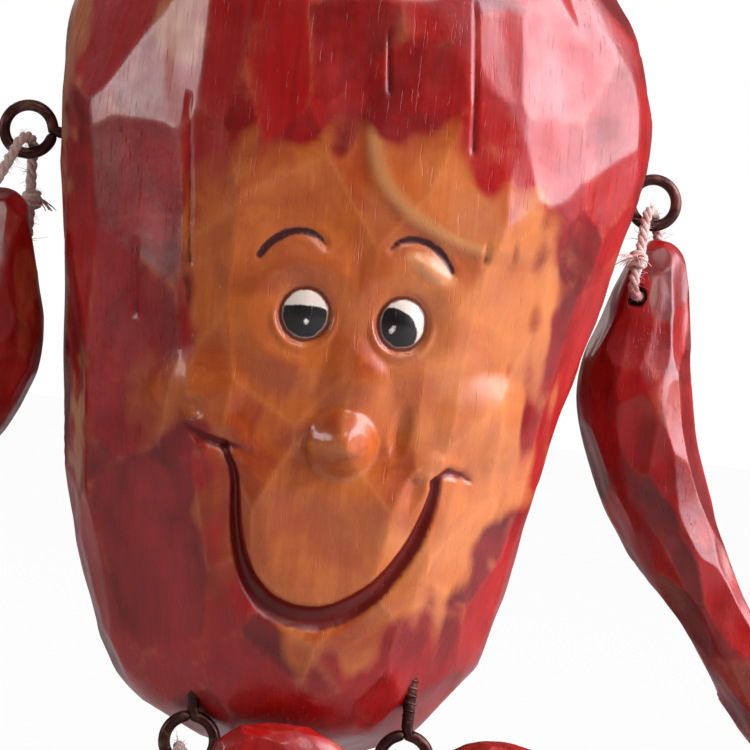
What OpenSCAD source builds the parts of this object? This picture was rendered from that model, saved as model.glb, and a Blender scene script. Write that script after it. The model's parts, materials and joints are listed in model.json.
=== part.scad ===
// Loose-jointed stick puppet: one carved block is head and trunk in the shape of a bell pepper,
// two pepper arms and two pepper legs hang from it on loops of twine that run through screw eyes,
// and a round stick plugs into its back as the handle.
// Millimetres, +Z up, the face looks along -Y. The origin is on the stick's axis, where the
// stick's shoulder meets the back of the block.

/* [Carved body] */
// Widest width of the body, from side to side
body_w = 103; // [82:1:126]
// Widest depth of the body, from face to back
body_d = 77; // [62:1:95]
// Height of the body above the stick's axis
body_up = 78; // [66:1:95]
// Height of the body below the stick's axis
body_down = 75; // [63:1:90]

/* [Stick] */
// Diameter of the stick
stick_d = 9.5; // [7:0.5:14]
// Length of the stick that stands out of the body's back
stick_out = 185; // [120:5:260]
// Diameter of the whittled end that plugs into the body
tenon_d = 7.9; // [5:0.1:9]
// Depth of the blind hole that the whittled end goes into
socket_depth = 26; // [15:1:40]
// Gap between the whittled end and its hole, on the radius
tenon_gap = 0.04; // [0.02:0.01:0.1]

/* [Screw eyes] */
// Diameter of the wire that a screw eye is bent from
wire_d = 2; // [1.4:0.1:2.4]
// Outer diameter of a screw eye's ring
eye_d = 10.4; // [9:0.2:14]
// Length of a screw eye's shank that is in the wood
eye_grip = 14; // [8:1:18]
// Bare shank between an arm's ring and the wood
arm_neck = 0.6; // [0.4:0.1:3]
// Bare shank between a leg's ring and the wood
leg_neck = 4; // [2:0.5:7]

/* [Twine] */
// Diameter of the twine
cord_d = 2; // [1.4:0.1:2.2]
// Gap between the twine and the hole it runs through, on the radius
cord_gap = 0.35; // [0.2:0.05:0.5]
// Diameter of the knot that closes each loop
knot_d = 3.8; // [3:0.1:4.2]

/* [Arms] */
// Length of an arm from its shoulder end to its tip
arm_len = 99; // [82:1:120]
// Thickest width of an arm
arm_w = 21.5; // [17:0.5:22.5]
// Height of the arms' screw eyes above the stick's axis
arm_eye_z = 27.5; // [20:0.5:36]
// How far behind the body's widest line the left arm's screw eye sits
left_eye_back = 2; // [0:1:14]
// How far behind the body's widest line the right arm's screw eye sits
right_eye_back = 9; // [0:1:12]
// Distance from the underside of the left arm's ring down to the hole in its shoulder
left_arm_drop = 16.5; // [10:0.1:20]
// Distance from the underside of the right arm's ring down to the hole in its shoulder
right_arm_drop = 12.3; // [10:0.1:20]
// How far the left arm stands out sideways, in degrees
left_arm_out = 6; // [5:1:20]
// How far the right arm stands out sideways, in degrees
right_arm_out = 0; // [0:1:20]

/* [Legs] */
// Length of a leg from its hip end to its sole
leg_len = 84; // [70:1:100]
// Thickest width of a leg
leg_w = 28; // [23:0.5:31]
// Distance of each leg's screw eye from the middle of the body
leg_eye_x = 18; // [17:0.5:24]
// Height of the legs' ring centres below the stick's axis
leg_eye_down = 72.5; // [68:0.5:80]
// Distance from the underside of a leg's ring down to the hole in its hip
leg_drop = 7.3; // [6:0.1:11]

/* [Hidden] */

red = "#a01818";
dark_metal = "#3a2c2a";
twine = "#e6d2c0";
raw_wood = "#d8b888";

// Body: [height share, half-width share, half-depth share, sideways lean in mm]; the height share
// runs from -1 at the lowest point through 0 at the stick's axis to 1 at the crown.
body_form = [
    [-1.000, 0.18, 0.22,  0.0], [-0.973, 0.34, 0.42, -1.0], [-0.920, 0.47, 0.58, -2.0],
    [-0.840, 0.58, 0.69, -2.5], [-0.750, 0.66, 0.76, -2.5], [-0.630, 0.71, 0.82, -2.5],
    [-0.380, 0.80, 0.90, -3.0], [-0.030, 0.89, 0.96, -1.5], [ 0.230, 0.97, 0.99,  0.0],
    [ 0.450, 1.00, 1.00,  0.5], [ 0.640, 0.97, 0.99, -0.5], [ 0.780, 0.87, 0.92, -1.5],
    [ 0.890, 0.70, 0.76, -1.0], [ 0.960, 0.48, 0.54,  0.0], [ 1.000, 0.20, 0.24,  0.0]];
body_sides = 32;
body_round = 2.3;      // squareness of the body's cross-section: 2 is an ellipse
furrow = 0.03;         // depth of the four upright furrows, as a share of the radius

function half_w(z) = body_w / 2 * lookup(z, [for (s = body_form) [body_z(s[0]), s[1]]]);
function half_d(z) = body_d / 2 * lookup(z, [for (s = body_form) [body_z(s[0]), s[2]]]);
function lean(z) = lookup(z, [for (s = body_form) [body_z(s[0]), s[3]]]);
function body_z(share) = share * (share < 0 ? body_down : body_up);
axis_y = -half_d(0);   // the body's own upright axis, so that its back is at Y = 0 by the stick

// How far a squared ellipse of radius 1 reaches on one axis, `s` of the way out on the other
function reach(s) = pow(1 - pow(abs(s), body_round), 1 / body_round);

wire_r = wire_d / 2;
ring_r = eye_d / 2 - wire_r;     // from a ring's centre to the middle of its wire
cord_r = cord_d / 2;
slack = 0.4;                     // gap between the twine and a ring's wire
pilot_gap = 0.03;                // gap between a shank and its hole, on the radius
bend = 1.7;                      // radius of the twine's turn out of a hole

// Ring centres; `dir` is -1 for the left limbs and 1 for the right ones. The arms' eyes stand on the
// body's sides, and the legs' eyes under its front.
function side_x(dir, back) =
    lean(arm_eye_z) + dir * half_w(arm_eye_z) * reach(back / half_d(arm_eye_z));
function arm_ring(dir) =
    let (back = dir < 0 ? left_eye_back : right_eye_back)
    [side_x(dir, back) + dir * (arm_neck + eye_d / 2), axis_y + back, arm_eye_z];
hip_z = -leg_eye_down + eye_d / 2 + leg_neck;
hip_y = axis_y - half_d(hip_z) * reach((leg_eye_x - lean(hip_z)) / half_w(hip_z));
function leg_ring(dir) = [dir * leg_eye_x, hip_y, -leg_eye_down];

// Middles of the holes through the limbs, from their ring's centre; an arm's +X is outward
function arm_hole(dir) = [1.2, 0, -eye_d / 2 - (dir < 0 ? left_arm_drop : right_arm_drop)];
leg_hole = [4.5, -7.5, -eye_d / 2 - leg_drop];
arm_hole_turn = 60;              // angle between an arm's hole and the body's width

// Arm: [share of the length, outward offset, half-width share, half-depth share]
arm_above = 10.5;                // from the hole up to the shoulder end
arm_form = [
    [0.000,  1.8, 0.12, 0.10], [0.025,  1.8, 0.44, 0.36], [0.070,  1.6, 0.60, 0.55],
    [0.106,  1.2, 0.67, 0.66], [0.152,  0.8, 0.76, 0.78], [0.212,  0.2, 0.90, 0.91],
    [0.288,  0.5, 1.00, 1.00], [0.394,  3.2, 1.00, 0.98], [0.485,  7.0, 0.97, 0.92],
    [0.576, 12.5, 0.94, 0.86], [0.667, 19.0, 0.91, 0.80], [0.778, 27.0, 0.84, 0.72],
    [0.879, 33.5, 0.68, 0.60], [0.955, 37.5, 0.46, 0.42], [1.000, 39.5, 0.16, 0.16]];

// Leg: [share of the length, offset to the right, half-width share, half-depth, forward shift]
leg_top = -leg_hole[2] - 18;     // from the ring's centre down to the hip end
leg_form = [
    [0.000, 14.5, 0.22,  1.4,  8.5], [0.018, 14.5, 0.52,  2.9,  8.5], [0.054, 15.2, 0.78,  4.2,  8.4],
    [0.100, 15.6, 0.91,  5.4,  8.2], [0.167, 15.4, 0.99,  7.0,  7.8], [0.256, 15.4, 1.00,  8.8,  7.2],
    [0.400, 15.5, 0.93, 10.5,  6.5], [0.554, 14.0, 0.82, 10.5,  6.0], [0.700, 11.3, 0.70, 10.0,  6.5],
    [0.800,  9.7, 0.66, 12.0,  8.5], [0.880,  9.1, 0.68, 15.0, 11.5], [0.950,  9.0, 0.66, 15.0, 12.0],
    [0.990,  9.0, 0.54, 12.5, 12.0], [1.000,  9.0, 0.44, 10.5, 12.0]];
limb_sides = 20;

// A closed solid from a list of rings, each with the same number of points, lowest ring first
module stack(rings) {
    n = len(rings[0]);
    last = len(rings) - 1;
    faces = concat(
        [[for (i = [0:n - 1]) i]],
        [[for (i = [n - 1:-1:0]) last * n + i]],
        [for (r = [0:last - 1], i = [0:n - 1]) [r * n + i, (r + 1) * n + i, r * n + (i + 1) % n]],
        [for (r = [0:last - 1], i = [0:n - 1])
            [r * n + (i + 1) % n, (r + 1) * n + i, (r + 1) * n + (i + 1) % n]]);
    polyhedron([for (r = rings, p = r) p], faces);
}

// One level ring of a limb: an ellipse about (x, y) at height z
function oval(x, y, z, rx, ry) =
    [for (i = [0:limb_sides - 1]) let (a = 360 * i / limb_sides) [x + rx * cos(a), y + ry * sin(a), z]];

// One level ring of the body: a squared ellipse with four shallow furrows near its corners
function body_ring(z, w, d) =
    [for (i = [0:body_sides - 1])
        let (a = 360 * i / body_sides,
             r = 1 - furrow * pow(sin(2 * a), 6),
             x = sign(cos(a)) * pow(abs(cos(a)), 2 / body_round),
             y = sign(sin(a)) * pow(abs(sin(a)), 2 / body_round))
        [lean(z) + w * r * x, axis_y + d * r * y, z]];

module body_block() {
    stack([for (s = body_form)
        body_ring(body_z(s[0]), body_w / 2 * s[1], body_d / 2 * s[2])]);
}

// Hole for a screw eye's shank, from its ring's centre at the origin down along -Z
module pilot(neck) {
    rotate([180, 0, 0]) cylinder(r = wire_r + pilot_gap, h = eye_d / 2 + neck + eye_grip + 0.5, $fn = 24);
}

// Sets a thing that hangs down -Z so that it points into the body from a side, or from below
module from_side(dir) {
    translate(arm_ring(dir)) rotate([0, dir * 90, 0]) children();
}

module from_below(dir) {
    translate(leg_ring(dir)) rotate([180, 0, 0]) children();
}

module pepper_body() {
    color(red)
    difference() {
        body_block();
        // socket for the stick, and a flat spot for its shoulder
        rotate([90, 0, 0]) cylinder(d = tenon_d + 2 * tenon_gap, h = socket_depth, $fn = 48);
        rotate([-90, 0, 0]) cylinder(d = stick_d + 3, h = 6, $fn = 48);
        for (dir = [-1, 1]) {
            from_side(dir) pilot(arm_neck);
            from_below(dir) pilot(leg_neck);
        }
    }
}

// Stick: bare handle with a thinner whittled end, which stops 1 mm short of the socket's bottom
module handle_stick() {
    color(raw_wood) {
        rotate([-90, 0, 0]) cylinder(d = stick_d, h = stick_out, $fn = 48);
        rotate([90, 0, 0]) cylinder(d = tenon_d, h = socket_depth - 1, $fn = 48);
    }
}

// Screw eye: ring about the origin in the XZ plane, with its shank and point along -Z
module screw_eye(neck) {
    shank = wire_r + neck + eye_grip;
    point = 3;
    color(dark_metal) {
        rotate([90, 0, 0]) rotate_extrude($fn = 48) translate([ring_r, 0]) circle(wire_r, $fn = 24);
        translate([0, 0, -ring_r - shank + point]) cylinder(r = wire_r, h = shank - point, $fn = 24);
        translate([0, 0, -ring_r - shank]) cylinder(r1 = 0.15, r2 = wire_r, h = point, $fn = 24);
    }
}

module screw_eye_left_arm() { from_side(-1) screw_eye(arm_neck); }
module screw_eye_right_arm() { from_side(1) screw_eye(arm_neck); }
module screw_eye_left_leg() { from_below(-1) screw_eye(leg_neck); }
module screw_eye_right_leg() { from_below(1) screw_eye(leg_neck); }

// A point or direction of an arm, given from its ring's centre with +X outward, where the arm hangs
function stand_out(p, dir) =
    let (a = dir < 0 ? left_arm_out : right_arm_out)
    [dir * (p[0] * cos(a) - p[2] * sin(a)), p[1], p[0] * sin(a) + p[2] * cos(a)];
function arm_point(p, dir) = arm_ring(dir) + stand_out(p, dir);
function arm_hole_dir(dir) = stand_out([dir * cos(arm_hole_turn), sin(arm_hole_turn), 0], dir);
leg_hole_dir = [0, 1, 0];
under_wire = [0, 0, -ring_r];    // the lowest point of a ring's wire, from the ring's centre

// A loop of twine lies in one plane, like a belt round three round things: the two turns out of the
// hole, `half` from its middle, and the turn of radius `top` over the ring's wire, at `wire`.
function belt_circles(half, wire, top) =
    [[[-half, bend], bend], [[half, bend], bend], [wire, top]];
function belt_normal(a, b) =
    let (d = b[0] - a[0]) atan2(d[1], d[0]) - acos((a[1] - b[1]) / norm(d));
function belt(c) =
    [for (i = [0:2])
        let (from = belt_normal(c[(i + 2) % 3], c[i]), to = belt_normal(c[i], c[(i + 1) % 3]),
             sweep = (to - from + 720) % 360, steps = i == 2 ? 8 : 5)
        [for (k = [0:steps]) let (a = from + sweep * k / steps)
            c[i][0] + c[i][1] * [cos(a), sin(a)]]];

// The loop's path as [along u, along v, radius]: the three turns, with the knot as a swelling half way
// up the strand from the hole's far end
function loop_path(turns) =
    let (a = turns[1][len(turns[1]) - 1], b = turns[2][0], along = (b - a) / norm(b - a))
    [for (i = [0:2]) each concat(
        [for (p = turns[i]) [p[0], p[1], cord_r]],
        i != 1 ? [] : [for (k = [-2:2])
            let (p = (a + b) / 2 + 0.28 * k * knot_d * along)
            [p[0], p[1], max(cord_r, knot_d / 2 * sqrt(1 - k * k / 4.4))]])];

// Tube along a closed path in the plane through `at` whose axes are `u` and `v`; where the radius is
// more than the twine's, the tube swells outward only
module closed_tube(path, at, u, v) {
    n = len(path);
    sides = 8;
    points = [for (i = [0:n - 1])
        let (t = path[(i + 1) % n] - path[(i + n - 1) % n], out = [t[1], -t[0]] / norm([t[0], t[1]]),
             side = out[0] * u + out[1] * v, r = path[i][2],
             middle = at + path[i][0] * u + path[i][1] * v + (r - cord_r) * side)
        for (k = [0:sides - 1]) let (a = 360 * k / sides)
            middle + r * (cos(a) * side + sin(a) * cross(u, v))];
    faces = [for (i = [0:n - 1], k = [0:sides - 1])
        let (a = i * sides + k, b = i * sides + (k + 1) % sides,
             c = ((i + 1) % n) * sides + k, d = ((i + 1) % n) * sides + (k + 1) % sides)
        each [[a, b, c], [b, d, c]]];
    polyhedron(points, faces);
}

// Loop with its knot, through the hole at `hole` along `u`, `half` long each way, and over `wire`
module cord_loop(hole, u, half, wire, top) {
    up = wire - hole - ((wire - hole) * u) * u;
    v = up / norm(up);
    wire_uv = [(wire - hole) * u, norm(up)];
    color(twine) closed_tube(loop_path(belt(belt_circles(half, wire_uv, top))), hole, u, v);
}

arm_hole_half = 7.4;             // from an arm's middle to its side, along the hole
leg_hole_half = 11.2;
// Radius of the twine's turn over the wire, which is cut aslant, the more so on the legs
arm_loop_top = 1.4 * wire_r + slack + cord_r;
leg_loop_top = 2.2 * wire_r + slack + cord_r;

module arm_cord(dir) {
    cord_loop(arm_point(arm_hole(dir), dir), arm_hole_dir(dir), arm_hole_half, arm_point(under_wire, dir),
        arm_loop_top);
}

module leg_cord(dir) {
    cord_loop(leg_ring(dir) + leg_hole, leg_hole_dir, leg_hole_half, leg_ring(dir) + under_wire,
        leg_loop_top);
}

module cord_left_arm() { arm_cord(-1); }
module cord_right_arm() { arm_cord(1); }
module cord_left_leg() { leg_cord(-1); }
module cord_right_leg() { leg_cord(1); }

// Round hole along `u` through the point `at`
module cord_hole(at, u) {
    translate(at) rotate([0, acos(u[2]), atan2(u[1], u[0])])
        cylinder(r = cord_r + cord_gap, h = 60, center = true, $fn = 24);
}

function backwards(list) = [for (i = [len(list) - 1:-1:0]) list[i]];

// Pepper-shaped arm: thin at the shoulder, full above the elbow, bent outward to a blunt tip
module arm(dir) {
    color(red)
    difference() {
        stack([for (s = backwards(arm_form)) let (z = arm_hole(dir)[2] + arm_above - s[0] * arm_len)
            [for (p = oval(s[1] * dir, 0, z, arm_w / 2 * s[2], arm_w / 2 * s[3]))
                arm_point([p[0] * dir, p[1], p[2]], dir)]]);
        cord_hole(arm_point(arm_hole(dir), dir), arm_hole_dir(dir));
    }
}

// Pepper-shaped leg: full at the hip, with a small foot turned forward; both legs are alike
module leg(dir) {
    color(red)
    difference() {
        stack([for (s = backwards(leg_form))
            [for (p = oval(s[1], -s[4], -leg_top - s[0] * leg_len, leg_w / 2 * s[2], s[3]))
                leg_ring(dir) + p]]);
        cord_hole(leg_ring(dir) + leg_hole, leg_hole_dir);
    }
}

module left_arm() { arm(-1); }
module right_arm() { arm(1); }
module left_leg() { leg(-1); }
module right_leg() { leg(1); }

pepper_body();
handle_stick();
screw_eye_left_arm();
screw_eye_right_arm();
screw_eye_left_leg();
screw_eye_right_leg();
cord_left_arm();
cord_right_arm();
cord_left_leg();
cord_right_leg();
left_arm();
right_arm();
left_leg();
right_leg();
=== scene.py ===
"""Carved stick puppet in the shape of a bell pepper: its carved body, limbs, twine, screw eyes and stick."""

import json
import math

import bmesh
import bpy
import numpy as np
from bpy.props import FloatProperty, FloatVectorProperty, IntProperty, PointerProperty
from mathutils import Matrix, Vector


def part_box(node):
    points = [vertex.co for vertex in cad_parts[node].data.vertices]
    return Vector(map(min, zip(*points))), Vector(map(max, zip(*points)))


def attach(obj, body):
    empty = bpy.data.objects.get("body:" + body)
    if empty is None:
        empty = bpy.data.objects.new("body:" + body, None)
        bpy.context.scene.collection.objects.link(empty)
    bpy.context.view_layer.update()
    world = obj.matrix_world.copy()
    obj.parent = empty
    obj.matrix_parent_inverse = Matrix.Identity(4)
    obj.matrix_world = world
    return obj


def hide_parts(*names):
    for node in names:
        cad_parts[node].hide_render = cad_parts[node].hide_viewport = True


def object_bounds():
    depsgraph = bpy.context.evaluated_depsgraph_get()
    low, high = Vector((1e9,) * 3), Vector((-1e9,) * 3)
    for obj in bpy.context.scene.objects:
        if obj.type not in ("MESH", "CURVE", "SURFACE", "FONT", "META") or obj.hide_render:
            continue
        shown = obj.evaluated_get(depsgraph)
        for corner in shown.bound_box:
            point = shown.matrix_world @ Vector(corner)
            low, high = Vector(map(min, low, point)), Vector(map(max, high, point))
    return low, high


bl_info = {
    "name": "Carved Stick Puppet",
    "version": (1, 0, 0),
    "blender": (4, 5, 0),
    "location": "View3D > Sidebar > Puppet",
    "description": "Carves a pepper-shaped stick puppet with limbs hung on twine",
    "category": "Object",
}

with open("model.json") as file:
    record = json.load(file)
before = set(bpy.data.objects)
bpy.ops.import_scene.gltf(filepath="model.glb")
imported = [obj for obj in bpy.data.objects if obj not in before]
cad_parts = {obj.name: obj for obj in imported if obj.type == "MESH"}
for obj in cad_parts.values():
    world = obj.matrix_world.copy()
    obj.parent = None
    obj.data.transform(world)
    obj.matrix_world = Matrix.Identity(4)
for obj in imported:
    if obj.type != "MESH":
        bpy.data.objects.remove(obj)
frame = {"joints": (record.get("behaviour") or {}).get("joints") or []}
CAD_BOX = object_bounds()
JOINTS = {joint["name"]: joint for joint in frame["joints"]}
MM = 0.001
LIMBS = ("left_arm", "right_arm", "left_leg", "right_leg")
BODY_LOW, BODY_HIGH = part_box("pepper_body")


# ---------------------------------------------------------------- shapes in millimetres

# Body: (height share, half-width share, half-depth share, sideways lean in mm), lowest first; the
# height share is -1 at the lowest point, 0 at the stick's axis and 1 at the crown's rim
BODY_FORM = (
    (-0.985, 0.00, 0.00, 0.0), (-1.000, 0.12, 0.16, -0.3), (-0.973, 0.34, 0.42, -1.0),
    (-0.920, 0.47, 0.58, -2.0), (-0.840, 0.58, 0.69, -2.5), (-0.750, 0.66, 0.76, -2.5),
    (-0.630, 0.71, 0.82, -2.5), (-0.380, 0.80, 0.90, -3.0), (-0.030, 0.89, 0.96, -1.5),
    (0.230, 0.97, 0.99, 0.0), (0.450, 1.00, 1.00, 0.5), (0.640, 0.97, 0.99, -0.5),
    (0.780, 0.87, 0.92, -1.5), (0.890, 0.70, 0.76, -1.0), (0.965, 0.48, 0.54, 0.0),
    (0.990, 0.28, 0.32, 0.0), (0.960, 0.12, 0.14, 0.0), (0.940, 0.00, 0.00, 0.0))
BODY_SQUARENESS = 2.3
BODY_FURROW = 0.035
SEAT = 6.2  # radius of the flat spot that the stick's shoulder sits on, in mm

# Face, as (across, up) in mm from the stick's axis
FACE_MIDDLE = 0.8
EYES_APART, EYES_UP = 16, -0.3
LEFT_EYE, RIGHT_EYE = ((FACE_MIDDLE + side * EYES_APART / 2, EYES_UP) for side in (-1, 1))
EYE_SIZE = (3.8, 4.0)
NOSE = (1, -20.5)
BROW_RISE = 3
BROW_ENDS = (((-15.5, 8.5), (-5, 11)), ((5.5, 11.5), (16, 9)))
MOUTH_BOTTOM = (-0.5, -49.5)
# Mouth's left and right half: (reach across, height, squareness, flare at its end)
MOUTH_LEFT, MOUTH_RIGHT = (15, 27, 2.6, 2.6), (18, 24, 1.7, 0)
MOUTH_WIDTH = (1.2, 1.6, 2.0, 2.5, 3.3, 3.9, 4.1, 3.8, 3.3, 2.8, 2.5, 1.9)
# Creases at the mouth's ends, from each end
LEFT_CREASE = ((-7, 3), (-3.5, 1), (0, 0), (3, 0))
RIGHT_CREASE = ((-1, 0), (2, 2), (5, 1.5), (7.5, 0.5))
RIDGE_TOP, RIDGE_CORNER, RIDGE_END = (0.5, 33), (-1, 17), (20, 12.5)
# Drying cracks run down the grain, which leans to the right: (across, upper end, length)
GRAIN_LEAN = 0.1
CRACK_PLACES = ((-29.5, 33, 27), (15, 51.5, 23), (1.5, 45.5, 9), (-36.5, 9, 12), (21, 14, 3), (26, 15, 3))
# The unstained face is these ovals together: (centre, half size, squareness)
FACE_OVALS = (((2.5, -1), (31, 29), 3.2), ((4, -30), (22, 26), 2),
              ((-21, -14), (10, 8), 2), ((21, -17), (14.5, 15), 2))


def hermite(at, places, values):
    """Smooth curve through values at increasing places, read at every `at`"""
    places, values = np.asarray(places, float), np.asarray(values, float)
    slopes = np.gradient(values, places)
    i = np.clip(np.searchsorted(places, at) - 1, 0, len(places) - 2)
    step = places[i + 1] - places[i]
    t = (at - places[i]) / step
    return (values[i] * (2 * t**3 - 3 * t**2 + 1) + values[i + 1] * (3 * t**2 - 2 * t**3)
            + step * (slopes[i] * (t**3 - 2 * t**2 + t) + slopes[i + 1] * (t**3 - t**2)))


def smoothstep(low, high, value):
    t = np.clip((value - low) / (high - low), 0, 1)
    return t * t * (3 - 2 * t)


def wobble(points, size, seed):
    """Smooth random field from about -1 to 1, with bumps about `size` across"""
    rng = np.random.default_rng(seed)
    total = np.zeros(len(points))
    for _ in range(7):
        way = rng.normal(size=3)
        way *= rng.uniform(0.7, 1.5) * 2 * math.pi / (size * np.linalg.norm(way))
        total += np.sin(points @ way + rng.uniform(0, 2 * math.pi))
    return total / 2.6


def to_line(flat, line, widths=None):
    """Distance from each flat point to a line of points, less half the line's width there"""
    line = np.asarray(line, float)
    widths = np.zeros(len(line)) if widths is None else np.asarray(widths, float)
    best = np.full(len(flat), 1e9)
    for a, b, width_a, width_b in zip(line[:-1], line[1:], widths[:-1], widths[1:]):
        way = b - a
        t = np.clip(((flat - a) @ way) / (way @ way), 0, 1)
        away = np.linalg.norm(flat - a - t[:, None] * way, axis=1)
        best = np.minimum(best, away - (width_a + t * (width_b - width_a)) / 2)
    return best


def curved(line, count=40):
    """More points on a smooth curve through a short line of points"""
    line = np.asarray(line, float)
    places = np.concatenate(([0], np.cumsum(np.linalg.norm(np.diff(line, axis=0), axis=1))))
    at = np.linspace(0, places[-1], count)
    return np.stack([hermite(at, places, line[:, k]) for k in range(line.shape[1])], axis=1)


def to_outline(flat, outline):
    """Distance to a closed outline, negative inside it"""
    ring = np.asarray(outline + outline[:1], float)
    away = to_line(flat, ring)
    inside = np.zeros(len(flat), bool)
    for a, b in zip(ring[:-1], ring[1:]):
        crosses = (a[1] > flat[:, 1]) != (b[1] > flat[:, 1])
        rise = b[1] - a[1] if b[1] != a[1] else 1e-9
        inside ^= crosses & (flat[:, 0] < (b[0] - a[0]) * (flat[:, 1] - a[1]) / rise + a[0])
    return np.where(inside, -away, away)


def mouth_line():
    """The smile from its left end to its right end: two squared quarter ovals that meet at the bottom"""
    halves = []
    for side, (reach, height, squareness, flare) in ((-1, MOUTH_LEFT), (1, MOUTH_RIGHT)):
        turn = np.linspace(0, math.pi / 2, 16)
        across = reach * np.cos(turn) ** (2 / squareness)
        down = np.sin(turn) ** (2 / squareness)
        across += flare * np.clip(1 - down / 0.27, 0, 1) ** 2
        halves.append(MOUTH_BOTTOM + np.stack([side * across, height * (1 - down)], axis=1))
    return curved(np.concatenate((halves[0], halves[1][-2::-1])), 60)


def brow_line(start, end):
    """A brow that arches over the line between its ends"""
    t = np.linspace(0, 1, 9)[:, None]
    arch = (4 * t * (1 - t)) ** 0.8
    return curved(np.asarray(start) * (1 - t) + np.asarray(end) * t + arch * (0, BROW_RISE))


def ridge_line():
    """The brow ridge: down beside the brow's middle, then bent off to the right"""
    t = np.linspace(0, 1, 30)[:, None]
    return (1 - t) ** 2 * RIDGE_TOP + 2 * t * (1 - t) * RIDGE_CORNER + t**2 * RIDGE_END


def to_squared(flat, centre, size, squareness):
    """Distance to a squared oval's edge, negative inside it"""
    away = flat - centre
    share = (np.abs(away / size) ** squareness).sum(axis=1) ** (1 / squareness)
    return np.hypot(*away.T) * (1 - 1 / np.maximum(share, 1e-3))


def to_oval(flat, centre, size, turn=0.0):
    """Distance to an oval's edge, negative inside it"""
    c, s = math.cos(turn), math.sin(turn)
    x, z = flat[:, 0] - centre[0], flat[:, 1] - centre[1]
    share = np.hypot((x * c + z * s) / size[0], (z * c - x * s) / size[1])
    return (share - 1) * min(size)


def dome(flat, centre, size, turn=0.0):
    """1 at the centre of an oval, falling smoothly to 0 at its edge"""
    share = 1 + to_oval(flat, centre, size, turn) / min(size)
    return np.clip(1 - share**2, 0, 1) ** 1.5


MOUTH = mouth_line()
MOUTH_WIDTHS = np.interp(np.linspace(0, 1, len(MOUTH)), np.linspace(0, 1, len(MOUTH_WIDTH)), MOUTH_WIDTH)
LEFT_SMILE_END, RIGHT_SMILE_END = MOUTH[0] + LEFT_CREASE, MOUTH[-1] + RIGHT_CREASE
BROWS = [brow_line(*ends) for ends in BROW_ENDS]
BROW_RIDGE = ridge_line()
ABOVE_RIDGE = tuple(map(tuple, BROW_RIDGE)) + ((36, 12), (36, 60), (0.5, 60))
CRACKS = [np.linspace((x, top), (x + GRAIN_LEAN * length, top - length), 20)
          for x, top, length in CRACK_PLACES]


# ---------------------------------------------------------------- meshes and settings

def tint(name, description, default):
    """A colour setting"""
    return FloatVectorProperty(name=name, description=description, subtype="COLOR", size=3,
                               default=default, min=0, max=1)


def mesh_of(bm, name):
    """Turns a finished bmesh into a mesh"""
    mesh = bpy.data.meshes.new(name)
    bm.to_mesh(mesh)
    bm.free()
    return mesh


def read(mesh, what="co"):
    """A mesh's vertex places or normals, one row for each vertex"""
    out = np.zeros(len(mesh.vertices) * 3)
    mesh.vertices.foreach_get(what, out)
    return out.reshape(-1, 3)


# ---------------------------------------------------------------- carving

def along(stations, keys):
    """Running distance through a list of stations, by the columns that `keys` sums or picks"""
    track = np.stack([keys(row) for row in stations])
    return np.concatenate(([0], np.cumsum(np.linalg.norm(np.diff(track, axis=0), axis=1))))


def spread(share, places, weight):
    """Turns even shares 0..1 into places that lie closer together where `weight` is large"""
    fine = np.linspace(places[0], places[-1], 2000)
    total = np.cumsum(weight(fine))
    total = (total - total[0]) / (total[-1] - total[0])
    return np.interp(share, total, fine)


def ball_mesh(name, columns, rows):
    """A fine ball, with each vertex's angle round from the front (-Y) and its share of the way up"""
    bm = bmesh.new()
    bmesh.ops.create_uvsphere(bm, u_segments=columns, v_segments=rows, radius=1)
    mesh = mesh_of(bm, name)
    co = read(mesh)
    angle = np.arctan2(co[:, 0], -co[:, 1])
    angle[np.hypot(co[:, 0], co[:, 1]) < 1e-6] = 0
    return mesh, angle, 1 - np.arccos(np.clip(co[:, 2], -1, 1)) / math.pi


def normals_of(mesh, points):
    """Lays the points (in mm) into the mesh and gives its vertex normals"""
    mesh.vertices.foreach_set("co", (points * MM).ravel())
    mesh.update()
    return read(mesh, "normal")


def knife_cuts(points, normals, surface, cuts, sweep, seed):
    """Nearly flat knife facets: how deep each point is cut, how near an edge between facets it is, and
    its facet's own random tone. `cuts` is a list of (angle, place, depth, tilt) on the surface, and
    `sweep` has the radii in mm, along X, Y and Z, that the blade's path is curved to, so that no cut
    runs on for ever."""
    rng = np.random.default_rng(seed)
    best = np.zeros(len(points))
    second = np.full(len(points), -9.0)
    tone = np.full(len(points), 0.5)
    nudge = 1e-3
    for angle, place, depth, tilt in cuts:
        here, beside, above = (surface(np.array([a]), np.array([p]))[0] for a, p in
                               ((angle, place), (angle + nudge, place), (angle, place + nudge)))
        facing = np.cross(beside - here, above - here)
        facing = facing / np.linalg.norm(facing) + rng.normal(size=3) * tilt
        facing /= np.linalg.norm(facing)
        own_tone = rng.uniform(0, 1)
        away = points - here
        fall = (away * away) @ (0.5 / np.asarray(sweep))
        depth_here = np.where((fall < 6) & (normals @ facing > 0.3), away @ facing + depth - fall, -9.0)
        wins = depth_here > best
        second = np.where(wins, best, np.maximum(second, depth_here))
        tone[wins] = own_tone
        best = np.where(wins, depth_here, best)
    edge = np.exp(-np.clip(best - second, 0, 9) / 0.09) * (best > 0.02)
    return best, edge, tone


def give(mesh, **fields):
    """Stores named numbers on the mesh's vertices for its material"""
    for name, values in fields.items():
        layer = mesh.attributes.new(name, "FLOAT", "POINT")
        layer.data.foreach_set("value", np.asarray(values, np.float32))


def finish_piece(mesh, name, material, body, slot, *nodes):
    """Links a finished mesh as a piece that rides on a body and stands for CAD nodes"""
    mesh.polygons.foreach_set("use_smooth", np.ones(len(mesh.polygons), bool))
    mesh.materials.clear()
    mesh.materials.append(material)
    piece = bpy.data.objects.new(name, mesh)
    bpy.context.scene.collection.objects.link(piece)
    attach(piece, body)
    if nodes:
        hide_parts(*nodes)
    return piece


# ---------------------------------------------------------------- the carved body

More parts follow.
